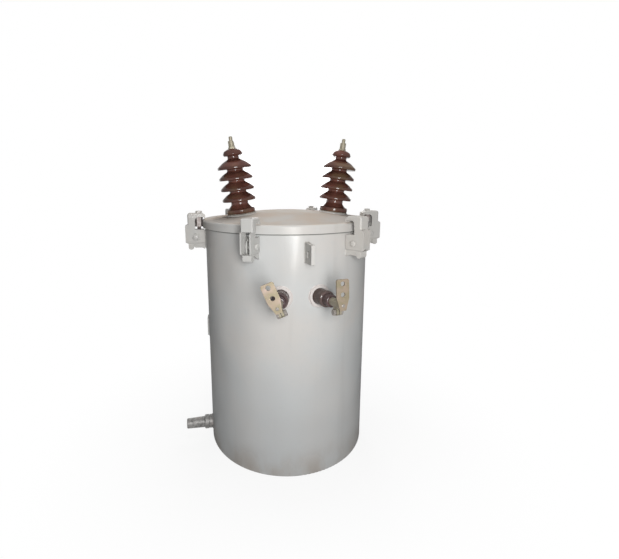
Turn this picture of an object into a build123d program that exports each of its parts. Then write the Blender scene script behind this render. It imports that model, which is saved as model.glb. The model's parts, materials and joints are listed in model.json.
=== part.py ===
from build123d import *
from math import asin, atan2, cos, degrees, radians, sin, sqrt
import os

# Pole mounted distribution transformer, millimetres. The tank stands on Z = 0, centred on the Z axis.
# The low-voltage side faces -Y and the pole side faces +Y.
# An azimuth is in degrees from -Y, growing towards +X.

# Tank
TANK_R = 240.0
TANK_WALL = 4.0
BASE_T = 6.0
BASE_EDGE_R = 3.0
RIM_TOP_Z = 682.0
RIM_BEAD_R = 2.5
RIM_BEAD_OUT = 0.5

# Cover: a shallow dome with a turned-down skirt, on a flat gasket
GASKET_T = 3.0
COVER_T = 3.5
SKIRT_GAP = 1.5
SKIRT_H = 23.0
SKIRT_BEND_R = 7.0
RIM_FLAT_W = 22.0
DOME_H = 23.5

# High-voltage bushings on the cover, square to the dome
HV_EDGE_GAP = 110.5
HV_Y = -35.0
HV_SEAT_R = 43.0
HV_SEAT_H = 2.5
HV_HOLE_R = 21.0
HV_SHANK_CLEARANCE = 0.8
HV_SHANK_L = 38.0
HV_GASKET_T = 2.5
HV_GASKET_R = 39.5
HV_FLANGE_R = 41.0
HV_FLANGE_H = 12.0
HV_FLARE_H = 11.0
HV_FLARE_R = 9.0
HV_SHED_R = 47.5
HV_SHED_FIRST = 39.5
HV_SHED_PITCH = 29.5
HV_SHED_COUNT = 4
HV_SHED_RISE = 20.0
HV_SHED_LIP = 5.0
HV_SHED_DISH = 1.5
HV_SHED_BULGE = 1.0
HV_SHED_BULGE_R = 45.0
HV_NECK_R = 24.5
HV_NECK_TOP_R = 22.0
HV_NECK_ROUND = 3.0
HV_THROAT_R = 16.0
HV_CAP_R = 27.0
HV_CAP_H = 19.0
HV_CAP_SIDE_H = 11.0
HV_CAP_TOP_R = 13.0
HV_CAP_DOME_R = 15.0
HV_CAP_GAP = 11.5
HV_NUT_AF = 17.5
HV_NUT_H = 5.0
HV_BODY_R = 8.5
HV_BODY_H = 16.5
HV_BODY_SLOPE_H = 8.0
HV_KNOB_R = 5.0
HV_KNOB_H = 12.0
HV_KNOB_ROUND = 2.5
HV_TERMINAL_TURNS = {"left": 0.0, "right": 90.0}

# Low-voltage bushings through the wall, tipped up a little
LV_AZIMUTHS = {"left": -15.0, "right": 8.7}
LV_SPADE_TURNS = {"left": 24.0, "right": 0.0}
LV_Z = 506.5
LV_TIP_UP = 4.5
LV_BOSS_R = 28.0
LV_BOSS_H = 5.0
LV_BOSS_GAP = 1.0
LV_BARREL_R = 20.5
LV_BARREL_L = 44.0
LV_BARREL_ROUND = 4.0
LV_NECK_R = 15.5
LV_NECK_L = 26.0
LV_NECK_ROUND = 3.0
LV_SHANK_R = 12.0
LV_SHANK_CLEARANCE = 0.5
LV_SHANK_L = 30.0
LV_SLEEVE_R = 10.0
LV_SLEEVE_L = 52.0
LV_EAR_W = 12.0
LV_EAR_L = 18.0
LV_EAR_DROP = 27.0
LV_EAR_BACK = 14.0
LV_EAR_BOLT_DROP = 20.0
LV_EAR_SLIT = 2.0
LV_EAR_BOLT_R = 4.0
LV_EAR_BOLT_CLEARANCE = 0.2
LV_EAR_BOLT_REACH = 12.0
LV_EAR_HEAD_R = 8.0
LV_EAR_HEAD_T = 6.0
SPADE_W = 31.0
SPADE_T = 5.0
SPADE_UP = 60.0
SPADE_DOWN = 11.0
SPADE_FOOT_W = 15.0
SPADE_TAPER_Z = 18.0
SPADE_HOLE_R = 5.5
SPADE_HOLE_Z = 25.0
SPADE_HOLE_PITCH = 25.0
SPADE_SCREW_R = 2.5
SPADE_CORNER_R = 3.0

# Cover clamps: a hook over the skirt, pinned to a lug on the wall
CLAMP_AZIMUTHS = {
    "front_left": -30.5,
    "front_right": 30.3,
    "right": 87.5,
    "rear_right": 147.0,
    "rear_left": -147.0,
    "left": -90.0,
}
PIN_HEAD_SIDES = {
    "front_left": -1,
    "front_right": 1,
    "right": 1,
    "rear_right": 1,
    "rear_left": -1,
    "left": 1,
}
HOOK_T = 3.5
HOOK_W = 31.0
HOOK_MID_W = 28.0
HOOK_FOOT_W = 23.0
HOOK_WEB_OUT = 50.0
HOOK_EAR_OUT = 57.5
HOOK_TOP = 17.5
HOOK_TOP_R = 6.0
HOOK_BEND_CHAMFER = 2.5
HOOK_TOE_L = 10.0
HOOK_TOE_H = 6.0
HOOK_TOE_SLOPE_L = 8.0
HOOK_SHOULDER_H = 4.0
HOOK_NOTCH_OUT = 21.5
HOOK_NOTCH_TOP = 6.5
HOOK_NOTCH_BELOW = 6.5
HOOK_INNER_GAP = 3.5
HOOK_WINDOW_TOP = 14.5
HOOK_WINDOW_H = 52.0
HOOK_FOOT_H = 21.0
HOOK_FOOT_W_SIDE = 15.5
HOOK_HEEL_RISE = 15.0
HOOK_HEEL_DROP = 86.5
PIN_R = 6.5
PIN_CLEARANCE = 0.2
PIN_OUT = 28.0
PIN_DROP = 51.5
PIN_HEAD_R = 10.5
PIN_HEAD_T = 4.5
PIN_TAIL = 3.5
PIN_CHAMFER = 1.0
LUG_T = 4.0
LUG_GAP = 0.3
LUG_OUT = 39.0
LUG_TOP_DROP = 33.0
LUG_H = 50.0
LUG_CORNER = 8.0

# Bare lug on the front
FRONT_LUG_AZIMUTH = 0.3
FRONT_LUG_T = 9.0
FRONT_LUG_OUT = 57.0
FRONT_LUG_DROP = 20.5
FRONT_LUG_H = 51.0
FRONT_LUG_CORNER_R = 3.0
FRONT_LUG_SLOPE = 3.5
FRONT_LUG_HOLE_R = 9.0
FRONT_LUG_HOLE_OUT = 28.0

# Drain fitting, low on the left side
DRAIN_AZIMUTH = -90.0
DRAIN_Z = 42.0
DRAIN_BOSS_R = 20.5
DRAIN_BOSS_L = 10.0
DRAIN_GROOVE_R = 18.5
DRAIN_GROOVE_L = 1.5
DRAIN_COLLAR_R = 21.0
DRAIN_COLLAR_L = 14.0
DRAIN_CHAMFER = 2.5
DRAIN_BORE_R = 10.0
DRAIN_PLUG_CLEARANCE = 0.1
DRAIN_PLUG_R = 16.5
DRAIN_PLUG_END_R = 15.0
DRAIN_PLUG_L = 55.0
DRAIN_PLUG_ROUND = 3.0

# Plain welded pad on the left side
PAD_AZIMUTH = -93.0
PAD_Z = 335.0
PAD_H = 52.0
PAD_W = 44.0
PAD_OUT = 4.0
PAD_CORNER_R = 4.0

# Hanger brackets on the pole side
HANGER_LOW_Z = 190.0
HANGER_PITCH = 285.75
HANGER_W = 100.0
HANGER_H = 80.0
HANGER_T = 6.0
HANGER_OUT = 42.0
HANGER_BEND_R = 8.0
HANGER_SLOT_R = 9.0
HANGER_SLOT_L = 42.0

# Heights and radii that follow from the values above
SEAT_Z = RIM_TOP_Z + GASKET_T
COVER_Z = SEAT_Z + COVER_T
RIM_R = TANK_R + RIM_BEAD_R + RIM_BEAD_OUT
SKIRT_IN_R = RIM_R + SKIRT_GAP
SKIRT_R = SKIRT_IN_R + COVER_T
SKIRT_LOW_Z = COVER_Z - SKIRT_H
DOME_R = SKIRT_R - RIM_FLAT_W
DOME_SPHERE_R = (DOME_R ** 2 + DOME_H ** 2) / (2 * DOME_H)
HV_X = SKIRT_R - HV_EDGE_GAP
HV_SHED_TOP = HV_SHED_FIRST + HV_SHED_PITCH * (HV_SHED_COUNT - 1) + HV_SHED_RISE
HV_CAP_LOW = HV_SHED_TOP + HV_CAP_GAP
LV_SPADE_X = LV_BARREL_L + LV_NECK_L + LV_SLEEVE_L - SPADE_T
LV_EAR_X = LV_SPADE_X - LV_EAR_BACK - LV_EAR_L / 2
HOOK_WINDOW_TOP_Z = COVER_Z - HOOK_WINDOW_TOP
HOOK_WINDOW_LOW_Z = HOOK_WINDOW_TOP_Z - HOOK_WINDOW_H
HOOK_TOE_OUT = SKIRT_R - TANK_R - SKIRT_BEND_R
PIN_Z = COVER_Z - PIN_DROP

# How far a welded piece is drawn into the wall before it is trimmed to it
WELD_DEPTH = 6.0


def wall_frame(azimuth, z, out=0.0):
    """Place on the wall: local X points outwards, local Y along the wall, local Z up."""
    radius = TANK_R + out
    place = (radius * sin(radians(azimuth)), -radius * cos(radians(azimuth)), z)
    return Location(place, (0, 0, azimuth - 90))


def lv_frame(side):
    """Place of a low-voltage bushing: local X runs out along its own axis."""
    return wall_frame(LV_AZIMUTHS[side], LV_Z) * Rot(0, -LV_TIP_UP, 0)


def lv_terminal_frame(side):
    """Place of a low-voltage terminal, turned about the bushing's axis as its spade leans."""
    return lv_frame(side) * Rot(LV_SPADE_TURNS[side], 0, 0)


def hv_frame(sign):
    """Place of a high-voltage bushing: local Z stands square to the dome, from the seat."""
    x = sign * HV_X
    reach = sqrt(x ** 2 + HV_Y ** 2)
    lean = degrees(asin(reach / DOME_SPHERE_R))
    turn = degrees(atan2(HV_Y, x))
    z = COVER_Z + DOME_H - (DOME_SPHERE_R - sqrt(DOME_SPHERE_R ** 2 - reach ** 2))
    return Pos(x, HV_Y, z) * Rot(0, 0, turn) * Rot(0, lean, 0) * Pos(0, 0, HV_SEAT_H)


def upright(radius, height):
    """Cylinder that stands on the local XY plane."""
    return Cylinder(radius, height, align=(Align.CENTER, Align.CENTER, Align.MIN))


def round_bar(radius, start, length, direction="X"):
    """Cylinder along a local axis, from start to start + length."""
    turns = {"X": Rot(0, 90, 0), "Y": Rot(-90, 0, 0), "Z": Rot(0, 0, 0)}
    return turns[direction] * Pos(0, 0, start) * upright(radius, length)


def tank_body():
    """Solid cylinder of the tank, to trim what is welded to its wall."""
    return upright(TANK_R, COVER_Z)


def side_face(points):
    """Face on the local XZ plane from (out, up) points."""
    return make_face(Polyline(*[(x, 0, z) for x, z in points], close=True).edges())


def front_face(points):
    """Face on the local YZ plane from (along, up) points."""
    return make_face(Polyline(*[(0, y, z) for y, z in points], close=True).edges())


def across(face, width):
    """Extrude a face of the XZ plane evenly to both sides."""
    return extrude(face, amount=width / 2, both=True, dir=(0, 1, 0))


def turned(corners):
    """Revolve a profile about Z from (radius, height, rounding) corners, its first and last on the axis."""
    points = [(r, 0, z) for r, z, rounding in corners]
    roundings = [rounding for r, z, rounding in corners]
    outline = FilletPolyline(*points, radius=roundings, close=True)
    return revolve(make_face(outline.edges()), Axis.Z)


def make_tank_wall():
    """Rolled wall with a half-round bead at its rim, and its holes."""
    bead_z = RIM_TOP_Z - 2 * RIM_BEAD_R
    inner_r = TANK_R - TANK_WALL
    bead_r = TANK_R + RIM_BEAD_OUT
    with BuildPart() as wall:
        with BuildSketch(Plane.XZ):
            with BuildLine():
                Polyline((inner_r, BASE_T), (TANK_R, BASE_T), (TANK_R, bead_z), (bead_r, bead_z))
                ThreePointArc((bead_r, bead_z), (RIM_R, bead_z + RIM_BEAD_R), (bead_r, RIM_TOP_Z))
                Polyline((bead_r, RIM_TOP_Z), (inner_r, RIM_TOP_Z), (inner_r, BASE_T))
            make_face()
        revolve(axis=Axis.Z)
    shape = wall.part
    through = 3 * TANK_WALL
    for side in LV_AZIMUTHS:
        hole = round_bar(LV_SHANK_R + LV_SHANK_CLEARANCE, -through, 2 * through)
        shape -= lv_frame(side) * hole
    drain_hole = round_bar(DRAIN_BORE_R, -through, 2 * through)
    return shape - wall_frame(DRAIN_AZIMUTH, DRAIN_Z) * drain_hole


def make_tank_base():
    """Flat bottom plate with a small rounded edge."""
    plate = upright(TANK_R, BASE_T)
    return fillet(plate.edges().sort_by(Axis.Z)[0], BASE_EDGE_R)


def make_gasket():
    """Flat ring between the rim and the cover."""
    ring = upright(SKIRT_R - SKIRT_BEND_R, GASKET_T)
    return Pos(0, 0, RIM_TOP_Z) * (ring - upright(TANK_R - TANK_WALL, GASKET_T))


def make_cover():
    """Pressed cover: shallow dome, flat rim, turned-down skirt and a raised seat under each bushing."""
    top = COVER_Z + DOME_H
    centre_z = top - DOME_SPHERE_R
    inner_sphere_r = DOME_SPHERE_R - COVER_T
    half_r = DOME_R / 2
    half_z = centre_z + sqrt(DOME_SPHERE_R ** 2 - half_r ** 2)
    under_r = sqrt(inner_sphere_r ** 2 - (SEAT_Z - centre_z) ** 2)
    under_half_z = centre_z + sqrt(inner_sphere_r ** 2 - (under_r / 2) ** 2)
    bend_r = SKIRT_R - SKIRT_BEND_R
    bend_z = COVER_Z - SKIRT_BEND_R
    inner_bend_r = SKIRT_BEND_R - COVER_T
    slant = cos(radians(45))
    with BuildPart() as cover:
        with BuildSketch(Plane.XZ):
            with BuildLine():
                ThreePointArc((0, top), (half_r, half_z), (DOME_R, COVER_Z))
                Line((DOME_R, COVER_Z), (bend_r, COVER_Z))
                ThreePointArc(
                    (bend_r, COVER_Z),
                    (bend_r + SKIRT_BEND_R * slant, bend_z + SKIRT_BEND_R * slant),
                    (SKIRT_R, bend_z),
                )
                Polyline(
                    (SKIRT_R, bend_z),
                    (SKIRT_R, SKIRT_LOW_Z),
                    (SKIRT_IN_R, SKIRT_LOW_Z),
                    (SKIRT_IN_R, bend_z),
                )
                ThreePointArc(
                    (SKIRT_IN_R, bend_z),
                    (bend_r + inner_bend_r * slant, bend_z + inner_bend_r * slant),
                    (bend_r, SEAT_Z),
                )
                Line((bend_r, SEAT_Z), (under_r, SEAT_Z))
                ThreePointArc((under_r, SEAT_Z), (under_r / 2, under_half_z), (0, top - COVER_T))
                Line((0, top - COVER_T), (0, top))
            make_face()
        revolve(axis=Axis.Z)
    shape = cover.part
    for sign in (-1, 1):
        seat = Pos(0, 0, -2 * HV_SEAT_H) * upright(HV_SEAT_R, 2 * HV_SEAT_H)
        seat = chamfer(seat.edges().sort_by(Axis.Z)[-1], HV_SEAT_H / 2)
        shape += hv_frame(sign) * seat
        shape -= hv_frame(sign) * Cylinder(HV_HOLE_R, 10 * HV_SEAT_H)
    return shape


def neck_radius(gap):
    """Neck radius below shed number gap: the porcelain grows a little thinner from foot to top."""
    return HV_NECK_R + (HV_NECK_TOP_R - HV_NECK_R) * gap / HV_SHED_COUNT


def shed_corners(number):
    """Corners of one shed: dished underside, round rim, and a full slope up to the next neck."""
    rim_z = HV_SHED_FIRST + HV_SHED_PITCH * number
    half_lip = HV_SHED_LIP / 2
    below = neck_radius(number)
    last = number == HV_SHED_COUNT - 1
    above = HV_THROAT_R if last else neck_radius(number + 1)
    slope_r = (above + HV_SHED_R) / 2
    slope_z = rim_z + (half_lip + HV_SHED_RISE) / 2 + HV_SHED_BULGE
    return [
        (below, rim_z - half_lip + HV_SHED_DISH, HV_NECK_ROUND),
        (HV_SHED_R, rim_z - half_lip, half_lip * 0.9),
        (HV_SHED_R, rim_z + half_lip, half_lip * 0.9),
        (slope_r, slope_z, HV_SHED_BULGE_R),
        (above, rim_z + HV_SHED_RISE, HV_NECK_ROUND),
    ]


def make_hv_bushing(sign):
    """Porcelain of a high-voltage bushing: shank, flared foot, sheds and a mushroom cap, turned in one piece."""
    foot = HV_GASKET_T
    shank_r = HV_HOLE_R - HV_SHANK_CLEARANCE
    flange_top = foot + HV_FLANGE_H
    cap_top = HV_CAP_LOW + HV_CAP_H
    corners = [
        (0, foot - HV_SHANK_L, 0),
        (shank_r, foot - HV_SHANK_L, 0),
        (shank_r, foot, 0),
        (HV_FLANGE_R, foot, 0),
        (HV_FLANGE_R, flange_top, 1.5),
        (HV_NECK_R + HV_FLARE_R, flange_top + 1, 2),
        (HV_NECK_R, flange_top + HV_FLARE_H, 8),
    ]
    for number in range(HV_SHED_COUNT):
        corners += shed_corners(number)
    corners += [
        (HV_THROAT_R, HV_CAP_LOW + HV_SHED_DISH, 1),
        (HV_CAP_R, HV_CAP_LOW, 1),
        (HV_CAP_R - 1, HV_CAP_LOW + HV_CAP_SIDE_H, HV_CAP_DOME_R),
        (HV_CAP_TOP_R, cap_top, 2),
        (0, cap_top, 0),
    ]
    return hv_frame(sign) * turned(corners)


def make_hv_gasket(sign):
    ring = upright(HV_GASKET_R, HV_GASKET_T)
    return hv_frame(sign) * (ring - upright(HV_HOLE_R, HV_GASKET_T))


def make_hv_terminal(side, sign):
    """Hex nut, clamp body with one sloped shoulder, and the round tip on top."""
    nut = extrude(RegularPolygon(HV_NUT_AF / 2, 6, major_radius=False), HV_NUT_H)
    body_top = HV_NUT_H + HV_BODY_H
    body = round_bar(HV_BODY_R, HV_NUT_H, HV_BODY_H, "Z")
    shoulder = side_face([
        (HV_KNOB_R, body_top),
        (2 * HV_BODY_R, body_top),
        (2 * HV_BODY_R, body_top - HV_BODY_SLOPE_H),
        (HV_BODY_R, body_top - HV_BODY_SLOPE_H),
    ])
    body -= across(shoulder, 3 * HV_BODY_R)
    knob = round_bar(HV_KNOB_R, body_top, HV_KNOB_H, "Z")
    knob = fillet(knob.edges().sort_by(Axis.Z)[-1], HV_KNOB_ROUND)
    place = hv_frame(sign) * Pos(0, 0, HV_CAP_LOW + HV_CAP_H)
    upward_turn = degrees(atan2(HV_Y, sign * HV_X))
    return place * Rot(0, 0, HV_TERMINAL_TURNS[side] - upward_turn) * (nut + body + knob)


def make_lv_boss(side):
    """Raised ring welded round the bushing, trimmed to the wall."""
    ring = round_bar(LV_BOSS_R, -4 * LV_BOSS_H, 5 * LV_BOSS_H)
    ring = chamfer(ring.edges().sort_by(Axis.X)[-1], LV_BOSS_H / 4)
    ring -= round_bar(LV_BARREL_R + LV_BOSS_GAP, -5 * LV_BOSS_H, 7 * LV_BOSS_H)
    return lv_frame(side) * ring - tank_body()


def make_lv_bushing(side):
    """Porcelain barrel stepped down to a neck, with a shank through the wall."""
    barrel = round_bar(LV_BARREL_R, -4 * TANK_WALL, LV_BARREL_L + 4 * TANK_WALL)
    barrel = fillet(barrel.edges().sort_by(Axis.X)[-1], LV_BARREL_ROUND)
    neck = round_bar(LV_NECK_R, 0, LV_BARREL_L + LV_NECK_L)
    neck = fillet(neck.edges().sort_by(Axis.X)[-1], LV_NECK_ROUND)
    outside = lv_frame(side) * (barrel + neck) - tank_body()
    return outside + lv_frame(side) * round_bar(LV_SHANK_R, -LV_SHANK_L, LV_SHANK_L + TANK_WALL)


def make_lv_clamp(side):
    """Terminal sleeve on the stud, with two clamp ears hanging under it."""
    sleeve = round_bar(LV_SLEEVE_R, LV_BARREL_L + LV_NECK_L, LV_SLEEVE_L - SPADE_T)
    ears = Box(LV_EAR_L, LV_EAR_W, LV_EAR_DROP, align=(Align.CENTER, Align.CENTER, Align.MAX))
    ears = fillet(ears.edges().filter_by(Axis.Y).group_by(Axis.Z)[0], LV_EAR_L / 3)
    slit_h = LV_EAR_DROP - LV_SLEEVE_R
    slit = Box(2 * LV_EAR_L, LV_EAR_SLIT, slit_h, align=(Align.CENTER, Align.CENTER, Align.MAX))
    hole = round_bar(LV_EAR_BOLT_R + LV_EAR_BOLT_CLEARANCE, -LV_EAR_W, 2 * LV_EAR_W, "Y")
    body = sleeve + Pos(LV_EAR_X, 0, 0) * ears
    body -= Pos(LV_EAR_X, 0, -LV_SLEEVE_R) * slit
    body -= Pos(LV_EAR_X, 0, -LV_EAR_BOLT_DROP) * hole
    return lv_terminal_frame(side) * body


def make_lv_clamp_bolt(side):
    """Cross bolt with a hexagon head and nut, tight on the two ears."""
    shank = round_bar(LV_EAR_BOLT_R, -LV_EAR_W / 2, LV_EAR_W / 2 + LV_EAR_BOLT_REACH, "Y")
    hexagon = Rot(90, 0, 0) * extrude(RegularPolygon(LV_EAR_HEAD_R, 6), LV_EAR_HEAD_T)
    head = Pos(0, -LV_EAR_W / 2, 0) * hexagon
    nut = Pos(0, LV_EAR_W / 2 + LV_EAR_HEAD_T, 0) * hexagon
    return lv_terminal_frame(side) * Pos(LV_EAR_X, 0, -LV_EAR_BOLT_DROP) * (shank + head + nut)


def make_lv_spade(side):
    """Flat spade with two holes, widening above the sleeve, held by one small screw."""
    half = SPADE_W / 2
    foot = SPADE_FOOT_W / 2
    corner = SPADE_CORNER_R
    with BuildSketch() as sketch:
        with BuildLine():
            Polyline(
                (-foot, -SPADE_DOWN),
                (foot, -SPADE_DOWN),
                (half, SPADE_TAPER_Z),
                (half, SPADE_UP - corner),
                (half - corner, SPADE_UP),
                (-half + corner, SPADE_UP),
                (-half, SPADE_UP - corner),
                (-half, SPADE_TAPER_Z),
                close=True,
            )
        make_face()
        with Locations((0, SPADE_HOLE_Z), (0, SPADE_HOLE_Z + SPADE_HOLE_PITCH)):
            Circle(SPADE_HOLE_R, mode=Mode.SUBTRACT)
        Circle(SPADE_SCREW_R, mode=Mode.SUBTRACT)
    plate = Plane.YZ * extrude(sketch.sketch, SPADE_T)
    return lv_terminal_frame(side) * Pos(LV_SPADE_X, 0, 0) * plate


def hook_front(inset):
    """Front outline of the hook: widest at the cover, narrower at the window, least at the foot."""
    top = HOOK_W / 2 - inset
    middle = HOOK_MID_W / 2 - inset
    foot = HOOK_FOOT_W / 2 - inset
    high = COVER_Z + 2 * HOOK_TOP
    low = HOOK_WINDOW_LOW_Z - 2 * HOOK_FOOT_H
    right = [
        (top, high),
        (top, HOOK_WINDOW_TOP_Z),
        (middle, HOOK_WINDOW_TOP_Z - HOOK_SHOULDER_H),
        (middle, HOOK_WINDOW_LOW_Z),
        (foot, HOOK_WINDOW_LOW_Z - HOOK_SHOULDER_H),
        (foot, low),
    ]
    left = [(-y, z) for y, z in reversed(right)]
    return extrude(front_face(right + left), amount=2 * HOOK_EAR_OUT, dir=(1, 0, 0))


def hook_side():
    """Side outline of the hook: toe on the cover, arched notch round the skirt, ears and rounded foot."""
    web = HOOK_WEB_OUT
    top = COVER_Z + HOOK_TOP
    foot_low = HOOK_WINDOW_LOW_Z - HOOK_FOOT_H
    foot_in = web - HOOK_FOOT_W_SIDE
    notch_out = SKIRT_R - TANK_R + HOOK_NOTCH_OUT
    notch_top = COVER_Z + HOOK_NOTCH_TOP
    notch_low = SKIRT_LOW_Z - HOOK_NOTCH_BELOW
    heel_low = COVER_Z - HOOK_HEEL_DROP
    outline = side_face([
        (HOOK_TOE_OUT - HOOK_TOE_L, COVER_Z),
        (HOOK_TOE_OUT, COVER_Z),
        (HOOK_TOE_OUT + HOOK_T, notch_top),
        (notch_out, notch_top),
        (notch_out, notch_low),
        (HOOK_INNER_GAP, notch_low),
        (HOOK_INNER_GAP, heel_low),
        (foot_in, heel_low + HOOK_HEEL_RISE),
        (foot_in, foot_low),
        (web, foot_low),
        (web, HOOK_WINDOW_LOW_Z - HOOK_SHOULDER_H),
        (HOOK_EAR_OUT, HOOK_WINDOW_LOW_Z),
        (HOOK_EAR_OUT, HOOK_WINDOW_TOP_Z - HOOK_SHOULDER_H),
        (web, HOOK_WINDOW_TOP_Z),
        (web, top),
        (HOOK_TOE_OUT + HOOK_TOE_SLOPE_L, top),
        (HOOK_TOE_OUT - HOOK_TOE_L, COVER_Z + HOOK_TOE_H),
    ])
    rounded = (
        (notch_out, notch_top, HOOK_NOTCH_OUT / 2),
        (web, top, HOOK_TOP_R),
        (HOOK_TOE_OUT + HOOK_TOE_SLOPE_L, top, HOOK_TOP_R),
        (foot_in, foot_low, HOOK_FOOT_W_SIDE * 0.45),
        (web, foot_low, HOOK_FOOT_W_SIDE * 0.45),
    )
    for x, z, radius in rounded:
        corner = outline.vertices().sort_by_distance((x, 0, z))[0]
        outline = fillet(corner, radius)
    return across(outline, 2 * HOOK_W)


def is_hook_bend(edge):
    """True for the long outer edges where the hook's back turns into its cheeks."""
    middle = edge.center()
    on_side = abs(abs(middle.Y) - HOOK_W / 2) < 0.01
    on_back = middle.X > HOOK_WEB_OUT - HOOK_TOP_R or middle.Z > COVER_Z + HOOK_TOP - HOOK_TOP_R
    return on_side and on_back


def make_clamp_hook(name):
    """Pressed channel hook with an open window in its back and a hole for its pivot pin."""
    blank = hook_side() & hook_front(0)
    blank = chamfer(blank.edges().filter_by(is_hook_bend), HOOK_BEND_CHAMFER)
    web_in = HOOK_WEB_OUT - HOOK_T
    top_in = COVER_Z + HOOK_TOP - HOOK_T
    open_in = HOOK_INNER_GAP - HOOK_T
    open_low = HOOK_WINDOW_LOW_Z - 3 * HOOK_FOOT_H
    far = HOOK_EAR_OUT + HOOK_T
    hollow = side_face([
        (open_in, open_low),
        (web_in, open_low),
        (web_in, HOOK_WINDOW_LOW_Z),
        (far, HOOK_WINDOW_LOW_Z),
        (far, HOOK_WINDOW_TOP_Z),
        (web_in, HOOK_WINDOW_TOP_Z),
        (web_in, top_in),
        (HOOK_TOE_OUT + HOOK_TOE_SLOPE_L + HOOK_T, top_in),
        (HOOK_TOE_OUT + HOOK_T, COVER_Z + HOOK_NOTCH_TOP),
        (open_in, SKIRT_LOW_Z - HOOK_NOTCH_BELOW),
    ])
    hook = blank - (across(hollow, 2 * HOOK_W) & hook_front(HOOK_T))
    pin_hole = round_bar(PIN_R + PIN_CLEARANCE, -HOOK_W, 2 * HOOK_W, "Y")
    hook -= Pos(PIN_OUT, 0, PIN_Z) * pin_hole
    return wall_frame(CLAMP_AZIMUTHS[name], 0) * hook


def make_clamp_lug(name):
    """Two ears on a common back, welded to the wall inside the hook."""
    half = HOOK_FOOT_W / 2 - HOOK_T - LUG_GAP
    top = COVER_Z - LUG_TOP_DROP
    low = top - LUG_H
    ear = side_face([
        (-WELD_DEPTH, low),
        (LUG_OUT - LUG_CORNER, low),
        (LUG_OUT, low + LUG_CORNER),
        (LUG_OUT, top - LUG_CORNER),
        (LUG_OUT - LUG_CORNER, top),
        (-WELD_DEPTH, top),
    ])
    ear = extrude(ear, amount=LUG_T, dir=(0, 1, 0))
    back = Box(WELD_DEPTH + LUG_T, 2 * half, LUG_H, align=(Align.MIN, Align.CENTER, Align.MIN))
    lug = Pos(0, half - LUG_T, 0) * ear + Pos(0, -half, 0) * ear + Pos(-WELD_DEPTH, 0, low) * back
    lug -= Pos(PIN_OUT, 0, PIN_Z) * round_bar(PIN_R + PIN_CLEARANCE, -HOOK_W, 2 * HOOK_W, "Y")
    return wall_frame(CLAMP_AZIMUTHS[name], 0) * lug - tank_body()


def make_clamp_pin(name):
    """Round-headed pivot pin through the hook and its lug."""
    half = HOOK_MID_W / 2
    shank = round_bar(PIN_R, -half, 2 * half + PIN_TAIL, "Y")
    shank = chamfer(shank.edges().sort_by(Axis.Y)[-1], PIN_CHAMFER)
    head = round_bar(PIN_HEAD_R, -half - PIN_HEAD_T, PIN_HEAD_T, "Y")
    head = chamfer(head.edges().sort_by(Axis.Y)[0], PIN_HEAD_T / 2)
    turn = Rot(0, 0, 180) if PIN_HEAD_SIDES[name] > 0 else Rot(0, 0, 0)
    return wall_frame(CLAMP_AZIMUTHS[name], PIN_Z, PIN_OUT) * turn * (shank + head)


def make_front_lug():
    """Plain upright lug with one hole."""
    top = SKIRT_LOW_Z - FRONT_LUG_DROP
    low = top - FRONT_LUG_H
    out = FRONT_LUG_OUT
    lug = across(
        side_face([(-WELD_DEPTH, low), (out, low + FRONT_LUG_SLOPE), (out, top), (-WELD_DEPTH, top)]),
        FRONT_LUG_T,
    )
    lug = fillet(lug.edges().filter_by(Axis.Y).group_by(Axis.X)[-1], FRONT_LUG_CORNER_R)
    hole = round_bar(FRONT_LUG_HOLE_R, -FRONT_LUG_T, 2 * FRONT_LUG_T, "Y")
    lug -= Pos(FRONT_LUG_HOLE_OUT, 0, low + FRONT_LUG_H / 2) * hole
    return wall_frame(FRONT_LUG_AZIMUTH, 0) * lug - tank_body()


def make_drain_collar():
    """Welded boss, groove and chamfered collar, bored through."""
    collar_x = DRAIN_BOSS_L + DRAIN_GROOVE_L
    boss = round_bar(DRAIN_BOSS_R, -WELD_DEPTH, DRAIN_BOSS_L + WELD_DEPTH)
    groove = round_bar(DRAIN_GROOVE_R, DRAIN_BOSS_L, DRAIN_GROOVE_L)
    collar = round_bar(DRAIN_COLLAR_R, collar_x, DRAIN_COLLAR_L)
    collar = chamfer(collar.edges().sort_by(Axis.X)[-1], DRAIN_CHAMFER)
    body = boss + groove + collar
    body -= round_bar(DRAIN_BORE_R, -2 * WELD_DEPTH, collar_x + DRAIN_COLLAR_L + 3 * WELD_DEPTH)
    return wall_frame(DRAIN_AZIMUTH, DRAIN_Z) * body - tank_body()


def make_drain_plug():
    """Tapered plug body with a rounded end and a spigot in the collar."""
    start = DRAIN_BOSS_L + DRAIN_GROOVE_L + DRAIN_COLLAR_L
    body = Cone(DRAIN_PLUG_R, DRAIN_PLUG_END_R, DRAIN_PLUG_L, align=(Align.CENTER, Align.CENTER, Align.MIN))
    body = fillet(body.edges().sort_by(Axis.Z)[-1], DRAIN_PLUG_ROUND)
    body = Rot(0, 90, 0) * Pos(0, 0, start) * body
    spigot_r = DRAIN_BORE_R - DRAIN_PLUG_CLEARANCE
    spigot = round_bar(spigot_r, start - DRAIN_COLLAR_L, DRAIN_COLLAR_L)
    return wall_frame(DRAIN_AZIMUTH, DRAIN_Z) * (body + spigot)


def make_side_pad():
    """Plain pad with rounded corners, welded on."""
    block = Box(PAD_OUT + WELD_DEPTH, PAD_W, PAD_H, align=(Align.MIN, Align.CENTER, Align.MIN))
    block = fillet(block.edges().filter_by(Axis.X), PAD_CORNER_R)
    return wall_frame(PAD_AZIMUTH, PAD_Z, -WELD_DEPTH) * block - tank_body()


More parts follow.
